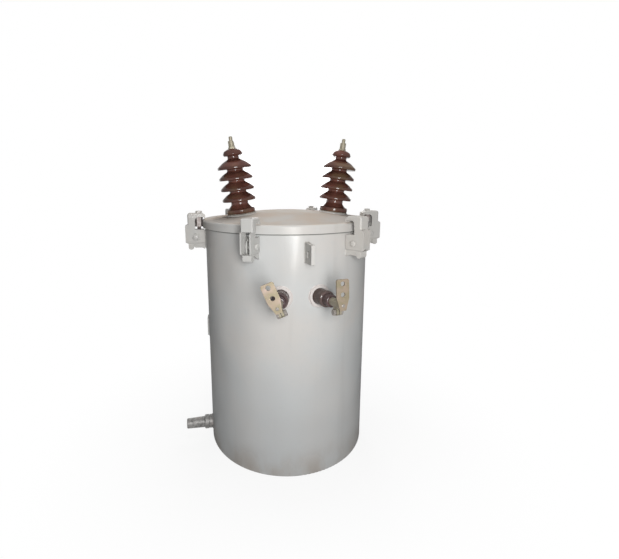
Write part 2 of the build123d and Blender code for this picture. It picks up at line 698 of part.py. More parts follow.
def make_hanger(z):
    """Pressed channel bracket: two flanges welded to the wall, a flat web with an upright slot."""
    # The flanges stand off the round wall by the sagitta of the bracket's width at its middle.
    sagitta = TANK_R - sqrt(TANK_R ** 2 - (HANGER_W / 2) ** 2)
    depth = HANGER_OUT + sagitta + WELD_DEPTH
    align = (Align.MAX, Align.CENTER, Align.CENTER)
    outer = Box(depth, HANGER_W, HANGER_H, align=align)
    outer = fillet(outer.edges().filter_by(Axis.Z).group_by(Axis.X)[-1], HANGER_BEND_R)
    inner = Box(depth, HANGER_W - 2 * HANGER_T, 2 * HANGER_H, align=align)
    inner = fillet(inner.edges().filter_by(Axis.Z).group_by(Axis.X)[-1], HANGER_BEND_R - HANGER_T)
    slot = extrude(SlotOverall(HANGER_SLOT_L, 2 * HANGER_SLOT_R, rotation=90), 4 * HANGER_T, both=True)
    body = outer - Pos(-HANGER_T, 0, 0) * inner - Plane.YZ * slot
    return wall_frame(180, z, HANGER_OUT) * body - tank_body()


def write(shape, node):
    solids = shape.solids()
    kept = solids[0] if len(solids) == 1 else Compound(children=list(solids))
    kept.label = node
    export_step(kept, "parts/" + node + ".step")


os.makedirs("parts", exist_ok=True)
write(make_tank_wall(), "tank_wall")
write(make_tank_base(), "tank_base")
write(make_gasket(), "cover_gasket")
write(make_cover(), "cover")
for side, sign in (("left", -1), ("right", 1)):
    write(make_hv_gasket(sign), "hv_gasket_" + side)
    write(make_hv_bushing(sign), "hv_bushing_" + side)
    write(make_hv_terminal(side, sign), "hv_terminal_" + side)
    write(make_lv_boss(side), "lv_boss_" + side)
    write(make_lv_bushing(side), "lv_bushing_" + side)
    write(make_lv_clamp(side), "lv_clamp_" + side)
    write(make_lv_clamp_bolt(side), "lv_clamp_bolt_" + side)
    write(make_lv_spade(side), "lv_spade_" + side)
for name in CLAMP_AZIMUTHS:
    write(make_clamp_hook(name), "clamp_hook_" + name)
    write(make_clamp_lug(name), "clamp_lug_" + name)
    write(make_clamp_pin(name), "clamp_pin_" + name)
write(make_front_lug(), "front_lug")
write(make_drain_collar(), "drain_collar")
write(make_drain_plug(), "drain_plug")
write(make_side_pad(), "side_pad")
write(make_hanger(HANGER_LOW_Z), "hanger_bracket_lower")
write(make_hanger(HANGER_LOW_Z + HANGER_PITCH), "hanger_bracket_upper")
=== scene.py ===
import json
from math import asin, cos, degrees, pi, radians, sin

import bmesh
import bpy
from mathutils import Matrix, Vector


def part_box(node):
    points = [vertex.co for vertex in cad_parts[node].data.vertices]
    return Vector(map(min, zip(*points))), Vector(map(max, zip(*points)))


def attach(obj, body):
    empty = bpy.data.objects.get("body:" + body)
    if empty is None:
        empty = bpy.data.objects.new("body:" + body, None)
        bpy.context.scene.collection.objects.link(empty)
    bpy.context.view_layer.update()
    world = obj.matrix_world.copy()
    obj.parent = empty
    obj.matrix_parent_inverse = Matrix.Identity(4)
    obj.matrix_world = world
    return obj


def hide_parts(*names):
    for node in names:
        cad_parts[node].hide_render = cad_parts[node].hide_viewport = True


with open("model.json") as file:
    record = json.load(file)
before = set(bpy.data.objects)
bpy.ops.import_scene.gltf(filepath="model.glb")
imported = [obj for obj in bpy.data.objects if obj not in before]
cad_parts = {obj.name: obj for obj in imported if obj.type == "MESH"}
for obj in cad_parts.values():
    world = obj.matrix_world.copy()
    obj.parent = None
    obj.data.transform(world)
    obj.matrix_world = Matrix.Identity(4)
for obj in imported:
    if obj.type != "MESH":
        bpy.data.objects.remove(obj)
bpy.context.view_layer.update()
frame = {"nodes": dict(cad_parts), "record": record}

nodes = frame["nodes"]
mounts = {mount["name"]: mount for mount in frame["record"]["mounts"]}
scene = bpy.context.scene
MM = 0.001

# Camera
# It stands in front of the low-voltage side, a little to the left of the middle and level with the
# lowest sheds, and looks slightly down.
CAMERA_AT = Vector((-0.2379, -1.1191, 0.7724))
CAMERA_HEADING = radians(-11.32)
CAMERA_PITCH = radians(10.04)
CAMERA_ROLL = radians(-0.21)
CAMERA_SHIFT = (0.0453, -0.0382)
SENSOR_W = 36.0
LENS = 21.855

heading = Matrix.Rotation(CAMERA_HEADING, 4, "Z")
tilt = Matrix.Rotation(pi / 2 - CAMERA_PITCH, 4, "X")
roll = Matrix.Rotation(CAMERA_ROLL, 4, "Z")
camera_data = bpy.data.cameras.new("camera")
camera_data.sensor_width = SENSOR_W
camera_data.lens = LENS
camera_data.shift_x, camera_data.shift_y = CAMERA_SHIFT
camera = bpy.data.objects.new("camera", camera_data)
camera.matrix_world = Matrix.Translation(CAMERA_AT) @ heading @ tilt @ roll
scene.collection.objects.link(camera)
scene.camera = camera
scene.view_settings.view_transform = "Standard"

# Light
# One soft lamp beside the camera models the wall, and a weak upright strip draws its highlight.
# A wide lamp overhead lights the cover, and three behind keep the other sides readable.
TANK_MIDDLE = Vector((0.04, 0, 0.45))
KEY_POWER = 8.3
STRIP_POWER = 2.2
TOP_POWER = 12.0
REAR_POWER = 12.0
SIDE_POWER = 4.5


def lamp(name, place, power, width, height, mirrored=True):
    """Rectangular lamp that faces the tank. One that isn't mirrored leaves no glint."""
    light = bpy.data.lights.new(name, "AREA")
    light.shape = "RECTANGLE"
    light.size = width
    light.size_y = height
    light.energy = power
    made = bpy.data.objects.new(name, light)
    made.location = place
    made.visible_glossy = mirrored
    made.rotation_euler = (TANK_MIDDLE - Vector(place)).to_track_quat("-Z", "Y").to_euler()
    scene.collection.objects.link(made)


lamp("key lamp", (-0.11, -1.2, 0.78), KEY_POWER, 0.42, 0.36)
lamp("strip lamp", (-0.08, -1.25, 0.56), STRIP_POWER, 0.11, 0.4)
lamp("top lamp", (0.0, 0.15, 2.1), TOP_POWER, 0.7, 0.7, mirrored=False)
lamp("rear lamp", (0.35, 1.6, 0.9), REAR_POWER, 0.6, 1.0)
lamp("left lamp", (-1.2, 1.5, 0.8), SIDE_POWER, 0.5, 1.0)
lamp("right lamp", (1.4, 1.5, 0.8), SIDE_POWER, 0.5, 1.0)

# Floor and background
# A plain white floor that keeps the object's shadow, and a white background for the camera and for
# reflections. Neither adds more than a little light to the object.
FLOOR_HALF = 6.0
FLOOR_TONE = 0.3
FLOOR_SEEN_TONE = 0.92
SHADOW_SHARE = 0.13
SHADOW_REACH = 0.8
SHADOW_FULL = 0.25
AMBIENT = 0.12


class Wire:
    """One value of a finish's node tree. Sums, products and powers of it add the nodes that they need."""

    def __init__(self, finish, socket):
        self.finish = finish
        self.socket = socket

    def calculate(self, operation, first, second):
        return self.finish.node("Math", {"operation": operation}, {0: first, 1: second})

    def __add__(self, other):
        return self.calculate("ADD", self, other)

    __radd__ = __add__

    def __sub__(self, other):
        return self.calculate("SUBTRACT", self, other)

    def __rsub__(self, other):
        return self.calculate("SUBTRACT", other, self)

    def __mul__(self, other):
        return self.calculate("MULTIPLY", self, other)

    __rmul__ = __mul__

    def __pow__(self, other):
        return self.calculate("POWER", self, other)

    def span(self, low, high):
        """0 below low, 1 above high, smooth between; the other way round where low is above high."""
        inputs = {"Value": self, "From Min": min(low, high), "From Max": max(low, high)}
        inputs["To Min"], inputs["To Max"] = (0.0, 1.0) if low < high else (1.0, 0.0)
        return self.finish.node("MapRange", {"interpolation_type": "SMOOTHSTEP"}, inputs)


class Finish:
    """A material: its shader's fixed sockets, and the nodes that vary over the surface."""

    def __init__(self, name, **fixed):
        self.material = bpy.data.materials.new(name)
        self.material.use_nodes = True
        self.tree = self.material.node_tree
        self.shader = self.tree.nodes["Principled BSDF"]
        for socket, value in fixed.items():
            self.shader.inputs[socket.replace("_", " ")].default_value = value
        self.place = self.node("TexCoord", output="Object")

    def node(self, kind, settings=None, inputs=None, output=0):
        """Add any node: its settings first, then a value or a wire for each of its inputs."""
        made = self.tree.nodes.new("ShaderNode" + kind)
        for key, value in (settings or {}).items():
            setattr(made, key, value)
        for key, value in (inputs or {}).items():
            if isinstance(value, Wire):
                self.tree.links.new(value.socket, made.inputs[key])
            else:
                made.inputs[key].default_value = value
        return Wire(self, made.outputs[output])

    def feed(self, socket, wire):
        """Lead a wire to one of the shader's sockets."""
        self.tree.links.new(wire.socket, self.shader.inputs[socket])

    def noise(self, scale, detail=3.0, roughness=0.55, stretch=None, at=(0, 0, 0)):
        """Noise from 0 to 1. Stretch scales the pattern by axis, and at moves it."""
        vector = self.place
        if stretch or any(at):
            inputs = {"Vector": vector, "Scale": stretch or (1, 1, 1), "Location": at}
            vector = self.node("Mapping", None, inputs)
        inputs = {"Vector": vector, "Scale": scale, "Detail": detail, "Roughness": roughness}
        return self.node("TexNoise", None, inputs)

    def from_axis(self, place):
        """Distance of a place from the Z axis."""
        x = self.node("SeparateXYZ", None, {0: place})
        y = Wire(self, x.socket.node.outputs[1])
        return (x * x + y * y) ** 0.5

    def mix(self, share, first, second):
        """Colour between first and second; each is a wire or a colour."""
        colours = [c if isinstance(c, Wire) else (*c, 1.0) for c in (first, second)]
        inputs = {0: share, 6: colours[0], 7: colours[1]}
        return self.node("Mix", {"data_type": "RGBA"}, inputs, output=2)

    def bump(self, height, strength, depth, under=None):
        """Normal from a height, laid over the normal under it."""
        inputs = {"Height": height, "Strength": strength, "Distance": depth}
        if under:
            inputs["Normal"] = under
        return self.node("Bump", None, inputs)


world = bpy.data.worlds.new("background")
scene.world = world
world.use_nodes = True
world_tree = world.node_tree
world_light = world_tree.nodes["Background"]
world_light.inputs["Color"].default_value = (1, 1, 1, 1)
light_path = world_tree.nodes.new("ShaderNodeLightPath")
seen = light_path.outputs["Is Camera Ray"]
for kind in ("Is Glossy Ray", "Is Transmission Ray"):
    either = world_tree.nodes.new("ShaderNodeMath")
    either.operation = "MAXIMUM"
    world_tree.links.new(seen, either.inputs[0])
    world_tree.links.new(light_path.outputs[kind], either.inputs[1])
    seen = either.outputs[0]
level = world_tree.nodes.new("ShaderNodeMapRange")
level.inputs["To Min"].default_value = AMBIENT
level.inputs["To Max"].default_value = 1.0
world_tree.links.new(seen, level.inputs["Value"])
world_tree.links.new(level.outputs[0], world_light.inputs["Strength"])

floor_finish = Finish("white floor", Roughness=0.9)
floor_rays = floor_finish.tree.nodes.new("ShaderNodeLightPath")
floor_seen = Wire(floor_finish, floor_rays.outputs["Is Camera Ray"])
floor_mirrored = Wire(floor_finish, floor_rays.outputs["Is Glossy Ray"])
floor_seen = floor_seen.calculate("MAXIMUM", floor_seen, floor_mirrored)
floor_glow = floor_finish.node("Emission", None, {"Color": (1, 1, 1, 1), "Strength": 1.0})
floor_finish.feed("Base Color", floor_finish.mix(floor_seen, (FLOOR_TONE,) * 3, (FLOOR_SEEN_TONE,) * 3))
near = floor_finish.from_axis(floor_finish.place).span(SHADOW_REACH, SHADOW_FULL)
glow_share = floor_seen * (1 - near * SHADOW_SHARE)
floor_lit = Wire(floor_finish, floor_finish.shader.outputs[0])
floor_mixed = floor_finish.node("MixShader", None, {0: glow_share, 1: floor_lit, 2: floor_glow})
floor_out = floor_finish.tree.nodes["Material Output"]
floor_finish.tree.links.new(floor_mixed.socket, floor_out.inputs["Surface"])
floor_mesh = bpy.data.meshes.new("floor")
floor_corners = [(x * FLOOR_HALF, y * FLOOR_HALF, 0) for x, y in ((-1, -1), (1, -1), (1, 1), (-1, 1))]
floor_mesh.from_pydata(floor_corners, [], [(0, 1, 2, 3)])
floor = bpy.data.objects.new("floor", floor_mesh)
floor_mesh.materials.append(floor_finish.material)
scene.collection.objects.link(floor)

# Tank wall and bottom
# Rolled from steel sheet and sprayed with light grey enamel. The welding of the fittings has drawn
# the sheet into soft waves, which bend the light on it.
ENAMEL = (0.575, 0.58, 0.572)
ENAMEL_WARM = (0.60, 0.58, 0.555)
ENAMEL_COOL = (0.52, 0.54, 0.54)
# Painted shade: the tone that every enamel takes on towards the bottom.
ENAMEL_LOW_PAINTED_SHADE = (0.505, 0.525, 0.535)
ENAMEL_DIRT = (0.30, 0.27, 0.235)
# Dust together with a painted warm reflection, on faces that look up.
ENAMEL_DUST_AND_REFLECTION = (0.585, 0.50, 0.425)
ENAMEL_EDGE = (0.70, 0.70, 0.68)
# Painted reflection of a brown floor, laid in patches on the lowest 0.1 m of the wall.
FOOT_PAINTED_REFLECTION = (0.33, 0.25, 0.18)
# The next two values are painted shade: a dark line on the wall just under the cover's skirt, where its
# shadow falls.
SKIRT_PAINTED_SHADE = (0.13, 0.14, 0.125)
SKIRT_PAINTED_SHADE_Z = (0.6605, 0.6632)


def enamel(name, base=ENAMEL, warm=ENAMEL_WARM, dust_and_reflection=0.0, foot_painted_reflection=0.0, skirt_painted_shade=0.0, edges=0.0,
           waves=0.0, gloss=0.05, shine=0.04, metal=0.0, rough=0.4):
    """Sprayed grey enamel: cloudy tone, orange peel and specks, and painted shade that makes it darker and
    cooler towards the bottom. Four shares add dust with a painted warm reflection on what faces up, a
    painted reflection of a brown floor at the foot, painted shade under the skirt, and thin paint on the
    edges. Waves bend the surface."""
    paint = Finish(name, Specular_IOR_Level=shine, Metallic=metal, Coat_Weight=gloss,
                   Coat_Roughness=0.14, Coat_IOR=3.0)
    cloud = paint.noise(5.0, 4.0)
    fine = paint.noise(38.0, 5.0, 0.6)
    colour = paint.mix(cloud.span(0.38, 0.68), base, warm)
    colour = paint.mix(fine.span(0.5, 0.8) * 0.35, colour, ENAMEL_COOL)
    streak = paint.noise(30.0, 3.0, 0.5, stretch=(1, 1, 0.06)).span(0.56, 0.78)
    colour = paint.mix(streak * 0.12, colour, ENAMEL_DIRT)
    height = paint.node("SeparateXYZ", None, {0: paint.place}, output=2)
    # Painted shade: darker and cooler from 0.5 m down to 0.12 m.
    colour = paint.mix(height.span(0.5, 0.12) * 0.45, colour, ENAMEL_LOW_PAINTED_SHADE)
    speck = paint.noise(420.0, 1.0, 0.4).span(0.74, 0.8)
    colour = paint.mix(speck * 0.35, colour, ENAMEL_DIRT)
    roughness = rough + fine * 0.12 + speck * 0.3
    if dust_and_reflection:
        # Partly dust and partly a painted reflection: a warm tint on what faces up.
        facing = paint.node("SeparateXYZ", None, {0: paint.node("TexCoord", output="Normal")}, output=2)
        dust_and_reflection_share = facing.span(0.55, 0.98) * (0.35 + paint.noise(14.0, 4.0).span(0.35, 0.7) * 0.65) * dust_and_reflection
        colour = paint.mix(dust_and_reflection_share, colour, ENAMEL_DUST_AND_REFLECTION)
        roughness = roughness + dust_and_reflection_share * 0.3
    # Painted reflection: brown and darker in patches towards the foot, standing in for a reflected brown
    # floor.
    if foot_painted_reflection:
        low = height.span(0.1, 0.0) * paint.noise(16.0, 4.0, stretch=(1, 1, 0.5)).span(0.3, 0.7)
        colour = paint.mix(low * foot_painted_reflection, colour, FOOT_PAINTED_REFLECTION)
        roughness = roughness + low * 0.2
    if edges:
        worn = paint.node("Attribute", {"attribute_name": "edge"}, output="Fac") * edges
        colour = paint.mix(worn, colour, ENAMEL_EDGE)
        roughness = roughness - worn * 0.15
    # Painted shade: a dark line on the wall just under the cover's skirt, where its shadow falls.
    if skirt_painted_shade:
        skirt_shade_share = height.span(*SKIRT_PAINTED_SHADE_Z) * skirt_painted_shade
        colour = paint.mix(skirt_shade_share, colour, SKIRT_PAINTED_SHADE)
        roughness = roughness + skirt_shade_share * 0.25
    normal = None
    if waves:
        swell = paint.noise(7.0, 1.0, 0.3, stretch=(1, 1, 0.8), at=(0.31, 0.2, 0.12))
        normal = paint.bump(swell, waves, 0.02)
    peel = paint.noise(620.0, 2.0, 0.5)
    normal = paint.bump(peel, 0.05, 0.0012, normal)
    runs = paint.noise(85.0, 3.0, 0.55)
    normal = paint.bump(runs, 0.06, 0.0015, normal)
    paint.feed("Base Color", colour)
    paint.feed("Roughness", roughness)
    paint.feed("Normal", normal)
    return paint.material


def finish_node(node, material):
    """Give a CAD node its finish."""
    mesh = nodes[node].data
    mesh.materials.clear()
    mesh.materials.append(material)


# The tank's enamel has painted shade under the skirt and a painted reflection of a brown floor at its foot.
tank_enamel = enamel("tank enamel", foot_painted_reflection=0.45, skirt_painted_shade=0.8,
                     waves=0.6, gloss=0.0, shine=0.0, metal=0.045, rough=0.14)
finish_node("tank_wall", tank_enamel)
finish_node("tank_base", tank_enamel)

# Weld beads
# Each fitting on the wall stands in a rippled steel bead, laid by hand along its root. All but the
# drain's are painted over.
BEAD_R = 1.9 * MM
BEAD_PITCH = 2.4 * MM
BEAD_WANDER = 0.5 * MM
BEAD_SIDES = 8
RIPPLE_STEPS = 4
RIPPLE_LOW = 0.86
RIPPLE_SWELL = 0.26


def bead_tree():
    """Path of edges to a rippled bead: resample, swell at each ripple, wander a little, sweep a circle."""
    tree = bpy.data.node_groups.new("weld bead", "GeometryNodeTree")
    face = tree.interface
    face.new_socket("Geometry", in_out="INPUT", socket_type="NodeSocketGeometry")
    face.new_socket("Bead Radius", in_out="INPUT", socket_type="NodeSocketFloat")
    face.new_socket("Ripple Pitch", in_out="INPUT", socket_type="NodeSocketFloat")
    face.new_socket("Wander", in_out="INPUT", socket_type="NodeSocketFloat")
    face.new_socket("Finish", in_out="INPUT", socket_type="NodeSocketMaterial")
    face.new_socket("Geometry", in_out="OUTPUT", socket_type="NodeSocketGeometry")

    def add(kind, inputs=None, **settings):
        made = tree.nodes.new(kind)
        for key, value in settings.items():
            setattr(made, key, value)
        for key, value in (inputs or {}).items():
            if isinstance(value, bpy.types.NodeSocket):
                tree.links.new(value, made.inputs[key])
            else:
                made.inputs[key].default_value = value
        return made.outputs

    start = add("NodeGroupInput")
    step = add("ShaderNodeMath", {0: start["Ripple Pitch"], 1: 1 / RIPPLE_STEPS}, operation="MULTIPLY")
    path_curve = add("GeometryNodeMeshToCurve", {0: start["Geometry"]})
    even = add("GeometryNodeResampleCurve", {"Curve": path_curve[0], "Length": step[0]}, mode="LENGTH")
    index = add("GeometryNodeInputIndex")
    count = add("ShaderNodeMath", {0: index[0], 1: 1 / RIPPLE_STEPS}, operation="MULTIPLY")
    ripple = add("ShaderNodeMath", {0: count[0]}, operation="FRACT")
    swell = add("ShaderNodeMath", {0: ripple[0], 1: RIPPLE_SWELL, 2: RIPPLE_LOW}, operation="MULTIPLY_ADD")
    drift = add("ShaderNodeTexNoise", {"Scale": 170.0, "Detail": 2.0})
    thick = add("ShaderNodeMath", {0: drift[0], 1: 0.5, 2: 0.75}, operation="MULTIPLY_ADD")
    radius = add("ShaderNodeMath", {0: swell[0], 1: thick[0]}, operation="MULTIPLY")
    centred = add("ShaderNodeVectorMath", {0: drift[1], 1: (0.5, 0.5, 0.5)}, operation="SUBTRACT")
    shift = add("ShaderNodeVectorMath", {0: centred[0], "Scale": start["Wander"]}, operation="SCALE")
    moved = add("GeometryNodeSetPosition", {"Geometry": even[0], "Offset": shift[0]})
    circle = add("GeometryNodeCurvePrimitiveCircle",
                 {"Resolution": BEAD_SIDES, "Radius": start["Bead Radius"]}, mode="RADIUS")
    swept = add("GeometryNodeCurveToMesh", {
        "Curve": moved[0], "Profile Curve": circle[0], "Scale": radius[0], "Fill Caps": True})
    smooth = add("GeometryNodeSetShadeSmooth", {"Geometry": swept[0]})
    real = add("GeometryNodeRealizeInstances", {0: smooth[0]})
    coloured = add("GeometryNodeSetMaterial", {"Geometry": real[0], "Material": start["Finish"]})
    add("NodeGroupOutput", {0: coloured[0]})
    return tree


weld_tree = bead_tree()


def made_plain(carrier, name):
    """The evaluated carrier as a plain mesh object, without its modifier. The carrier goes."""
    scene.collection.objects.link(carrier)
    bpy.context.view_layer.update()
    evaluated = carrier.evaluated_get(bpy.context.evaluated_depsgraph_get())
    mesh = bpy.data.meshes.new_from_object(evaluated)
    mesh.name = name
    bpy.data.objects.remove(carrier)
    made = bpy.data.objects.new(name, mesh)
    scene.collection.objects.link(made)
    return made


def weld(name, paths, material, radius=BEAD_R):
    """Beads along paths; each path is a list of points, and a path that ends where it starts is closed."""
    points = []
    edges = []
    for line in paths:
        closed = (line[0] - line[-1]).length < 1e-6
        line = line[:-1] if closed else line
        first = len(points)
        points += line
        edges += [(first + k, first + k + 1) for k in range(len(line) - 1)]
        if closed:
            edges.append((len(points) - 1, first))
    mesh = bpy.data.meshes.new(name)
    mesh.from_pydata(points, edges, [])
    carrier = bpy.data.objects.new(name, mesh)
    modifier = carrier.modifiers.new("bead", "NODES")
    modifier.node_group = weld_tree
    values = {"Bead Radius": radius, "Ripple Pitch": BEAD_PITCH, "Wander": BEAD_WANDER, "Finish": material}
    for item in weld_tree.interface.items_tree:
        if item.name in values:
            modifier[item.identifier] = values[item.name]
    made = made_plain(carrier, name)
    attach(made, "root")


TANK_R = 240 * MM
SIDE_POINTS = 8
CIRCLE_POINTS = 48


def on_wall(azimuth, height):
    """Point on the wall; azimuth in radians from -Y, growing towards +X."""
    return Vector((TANK_R * sin(azimuth), -TANK_R * cos(azimuth), height))


def wall_rectangle(azimuth, half_width, low, high):
    """Closed path round a fitting that stands on the wall."""
    turn = asin(half_width / TANK_R)
    left, right = azimuth - turn, azimuth + turn
    stops = [(left, low), (right, low), (right, high), (left, high), (left, low)]
    path_points = []
    for (from_turn, from_z), (to_turn, to_z) in zip(stops, stops[1:]):
        for k in range(SIDE_POINTS):
            share = k / SIDE_POINTS
            along = from_turn + (to_turn - from_turn) * share
            path_points.append(on_wall(along, from_z + (to_z - from_z) * share))
    return path_points + path_points[:1]


def wall_circle(azimuth, height, radius, tip=0.0):
    """Closed round path where a tube of that radius meets the wall, its axis tipped by that angle."""
    path_points = []
    for k in range(CIRCLE_POINTS):
        turn = 2 * pi * k / CIRCLE_POINTS
        along, up = radius * cos(turn), radius * sin(turn)
        path_points.append(on_wall(azimuth + asin(along / TANK_R), height + up / cos(tip)))
    return path_points + path_points[:1]


# Cover and gasket
# The cover is one pressing of steel sheet with a turned-down skirt, dusty on top, where a warm painted
# reflection is laid over the dust. It is seated on a flat rubber ring.
cover_enamel = enamel("cover enamel", (0.575, 0.575, 0.56), (0.595, 0.57, 0.54), dust_and_reflection=0.95,
                      waves=0.15, gloss=0.0, shine=0.0, metal=0.03, rough=0.2)
finish_node("cover", cover_enamel)

rubber = Finish("black rubber", Specular_IOR_Level=0.3)
rubber_tone = rubber.mix(rubber.noise(90.0), (0.02, 0.02, 0.02), (0.06, 0.055, 0.05))
rubber.feed("Base Color", rubber_tone)
rubber.feed("Roughness", 0.6 + rubber.noise(200.0) * 0.25)
rubber.feed("Normal", rubber.bump(rubber.noise(500.0), 0.2, 0.001))
finish_node("cover_gasket", rubber.material)

# Clamps
# Six pressed channel hooks of steel plate pull the cover down. Each turns on a pin through a plate
# lug, which is welded on the wall. All are painted with the tank, and their edges are rounded.
SAME_POINT = 2e-6
FLAT_WITHIN = 0.6
SHARP_OVER = 28.0
SMOOTH_UNDER = 40.0


def bevelled(node, width, material, segments=2):
    """Copy of a CAD node with rounded edges, in its place. The attribute edge is 1 on the rounded strips."""
    mesh = nodes[node].data.copy()
    mesh.name = node + "_shaped"
    work = bmesh.new()
    work.from_mesh(mesh)
    bmesh.ops.remove_doubles(work, verts=work.verts, dist=SAME_POINT)
    bmesh.ops.dissolve_limit(work, angle_limit=radians(FLAT_WITHIN), verts=work.verts, edges=work.edges)
    sharp = [e for e in work.edges if len(e.link_faces) == 2 and e.calc_face_angle(0) > radians(SHARP_OVER)]
    result = bmesh.ops.bevel(
        work, geom=sharp, offset=width, offset_type="OFFSET", segments=segments, profile=0.5,
        affect="EDGES", clamp_overlap=True)
    strips = set(result["faces"])
    flags = [float(face in strips) for face in work.faces]
    work.to_mesh(mesh)
    work.free()
    layer = mesh.attributes.new("edge", "FLOAT", "CORNER")
    for polygon, flag in zip(mesh.polygons, flags):
        for corner in polygon.loop_indices:
            layer.data[corner].value = flag
    mesh.materials.clear()
    mesh.materials.append(material)
    mesh.shade_smooth()
    mesh.set_sharp_from_angle(angle=radians(SMOOTH_UNDER))
    made = bpy.data.objects.new(node + "_shaped", mesh)
    scene.collection.objects.link(made)
    modifier = made.modifiers.new("normals", "WEIGHTED_NORMAL")
    modifier.keep_sharp = True
    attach(made, "root")
    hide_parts(node)


LUG_ROOT_HALF = 7.9 * MM
LUG_BEAD_R = 2.7 * MM
CLAMPS = {"front_left": -30.5, "front_right": 30.3, "right": 87.5, "rear_right": 147.0,
          "rear_left": -147.0, "left": -90.0}
fitting_enamel = enamel("fitting enamel", (0.545, 0.54, 0.52), (0.56, 0.535, 0.50), dust_and_reflection=0.25, edges=0.6)
# Painted highlight: the clamp welds' paint is paler than the paint around them, so the beads read bright.
bead_enamel_painted_highlight = enamel("bead enamel painted highlight", (0.68, 0.68, 0.66), (0.69, 0.67, 0.64), gloss=0.08)
for clamp, azimuth in CLAMPS.items():
    bevelled("clamp_hook_" + clamp, 0.9 * MM, fitting_enamel)
    bevelled("clamp_lug_" + clamp, 0.7 * MM, fitting_enamel)
    bevelled("clamp_pin_" + clamp, 0.8 * MM, fitting_enamel, segments=3)
lug_low, lug_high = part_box("clamp_lug_left")
weld("clamp_welds", [
    wall_rectangle(radians(a), LUG_ROOT_HALF, lug_low.z, lug_high.z) for a in CLAMPS.values()
], bead_enamel_painted_highlight, radius=LUG_BEAD_R)

# Pin ends
# Each steel pin is put in from one side, and its end is hammered over into a low round head on the
# other. The heads are painted with the clamps.
ARC_STEP = 11


def rounded(corners):
    """Outline from (radius, height, rounding) corners. An arc is smaller where its sides are short."""
    outline = []
    for k, (x, y, rounding) in enumerate(corners):
        here = Vector((x, y))
        if rounding <= 0 or k in (0, len(corners) - 1):
            outline.append(here)
            continue
        back = Vector(corners[k - 1][:2]) - here
        ahead = Vector(corners[k + 1][:2]) - here
        half = back.angle(ahead) / 2
        reach = min(rounding / (sin(half) / cos(half)), back.length * 0.49, ahead.length * 0.49)
        start, end = here + back.normalized() * reach, here + ahead.normalized() * reach
        steps = max(3, round(degrees(pi - 2 * half) / ARC_STEP))
        for n in range(steps + 1):
            t = n / steps
            a, b, c = (1 - t) ** 2, 2 * t * (1 - t) * sin(half), t ** 2
            outline.append((start * a + here * b + end * c) / (a + b + c))
    return outline


def placed(name, work, place, material, crease):
    """Piece from worked faces, moved to its place, with sharp edges only where they turn over crease."""
    bmesh.ops.recalc_face_normals(work, faces=work.faces)
    bmesh.ops.transform(work, matrix=place, verts=work.verts)
    mesh = bpy.data.meshes.new(name)
    work.to_mesh(mesh)
    work.free()
    mesh.materials.append(material)
    mesh.shade_smooth()
    mesh.set_sharp_from_angle(angle=radians(crease))
    made = bpy.data.objects.new(name, mesh)
    scene.collection.objects.link(made)
    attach(made, "root")
    return made


def lathe(name, outline, place, material, node=None, sides=96):
    """Piece turned about the Z axis of place, from (radius, height) points in mm. Where a CAD node is
    given, the piece takes its place."""
    work = bmesh.new()
    rings = []
    for radius, height in outline:
        if radius < 1e-6:
            rings.append([work.verts.new((0, 0, height * MM))] * sides)
            continue
        angles = [2 * pi * k / sides for k in range(sides)]
        points = [(radius * cos(a) * MM, radius * sin(a) * MM, height * MM) for a in angles]
        rings.append([work.verts.new(point) for point in points])
    for low, high in zip(rings, rings[1:]):
        for k in range(sides):
            corners = [low[k], low[(k + 1) % sides], high[(k + 1) % sides], high[k]]
            work.faces.new(list(dict.fromkeys(corners)))
    made = placed(name, work, place, material, crease=38)
    if node:
        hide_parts(node)


PIN_AT_R = 268 * MM
PIN_END = rounded([(0, -1.5, 0), (7.8, -1.5, 0), (7.8, 0.6, 0.6), (5.2, 2.6, 2), (0, 3.0, 0)])
HEADS_TO_THE_RIGHT = ("front_right", "right", "rear_right")
for clamp, azimuth in CLAMPS.items():
    along = Vector((cos(radians(azimuth)), sin(radians(azimuth)), 0))
    if clamp in HEADS_TO_THE_RIGHT:
        along = -along
    low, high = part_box("clamp_pin_" + clamp)
    reach = max(corner.co.dot(along) for corner in nodes["clamp_pin_" + clamp].data.vertices)
    middle = (low + high) / 2
    end = middle + along * (reach - middle.dot(along))
    radial = Vector((sin(radians(azimuth)), -cos(radians(azimuth)), 0))
    end += radial * (PIN_AT_R - end.dot(radial))
    place = Matrix.Translation(end) @ along.to_track_quat("Z", "Y").to_matrix().to_4x4()
    lathe("pin_end_" + clamp, PIN_END, place, fitting_enamel, sides=40)

# Hold-down bolts
# A steel bolt goes down through the top of each side and rear hook, its head painted with the hook.
# Below, a long hexagon nut of bare, slightly rusty steel sits on its thread beside the cover.


def hexagon(name, flats, low, high, place, material):
    """Six-sided head or nut from low to high, with the corners of its top turned off. Sizes in mm."""
    sides = 48
    face_r = 0.47 * flats
    work = bmesh.new()
    rings = [[], [], []]
    for k in range(sides):
        a = 2 * pi * k / sides
        radius = flats / 2 / cos((a + pi / 6) % (pi / 3) - pi / 6)
        shoulder = high - (radius - face_r) * 0.5
        for ring, r, height in zip(rings, (radius, radius, face_r), (low, shoulder, high)):
            ring.append(work.verts.new((r * cos(a) * MM, r * sin(a) * MM, height * MM)))
    for under, over in zip(rings, rings[1:]):
        for k in range(sides):
            n = (k + 1) % sides
            work.faces.new((under[k], under[n], over[n], over[k]))
    work.faces.new(rings[0])
    work.faces.new(rings[2])
    placed(name, work, place, material, crease=22)


BOLT_CLAMPS = ("left", "right", "rear_left", "rear_right")
BOLT_AT_R = 258.0 * MM
HEAD_FLATS = 16.0
HEAD_LOW = -0.5
HEAD_HIGH = 6.0
NUT_FLATS = 19.6
NUT_LOW = -39.0
NUT_HIGH = -3.0
THREAD_R = 6.0
CORE_R = 5.0
THREAD_PITCH = 1.75
THREAD_LOW = NUT_LOW - 8
THREAD_TURNS = 5

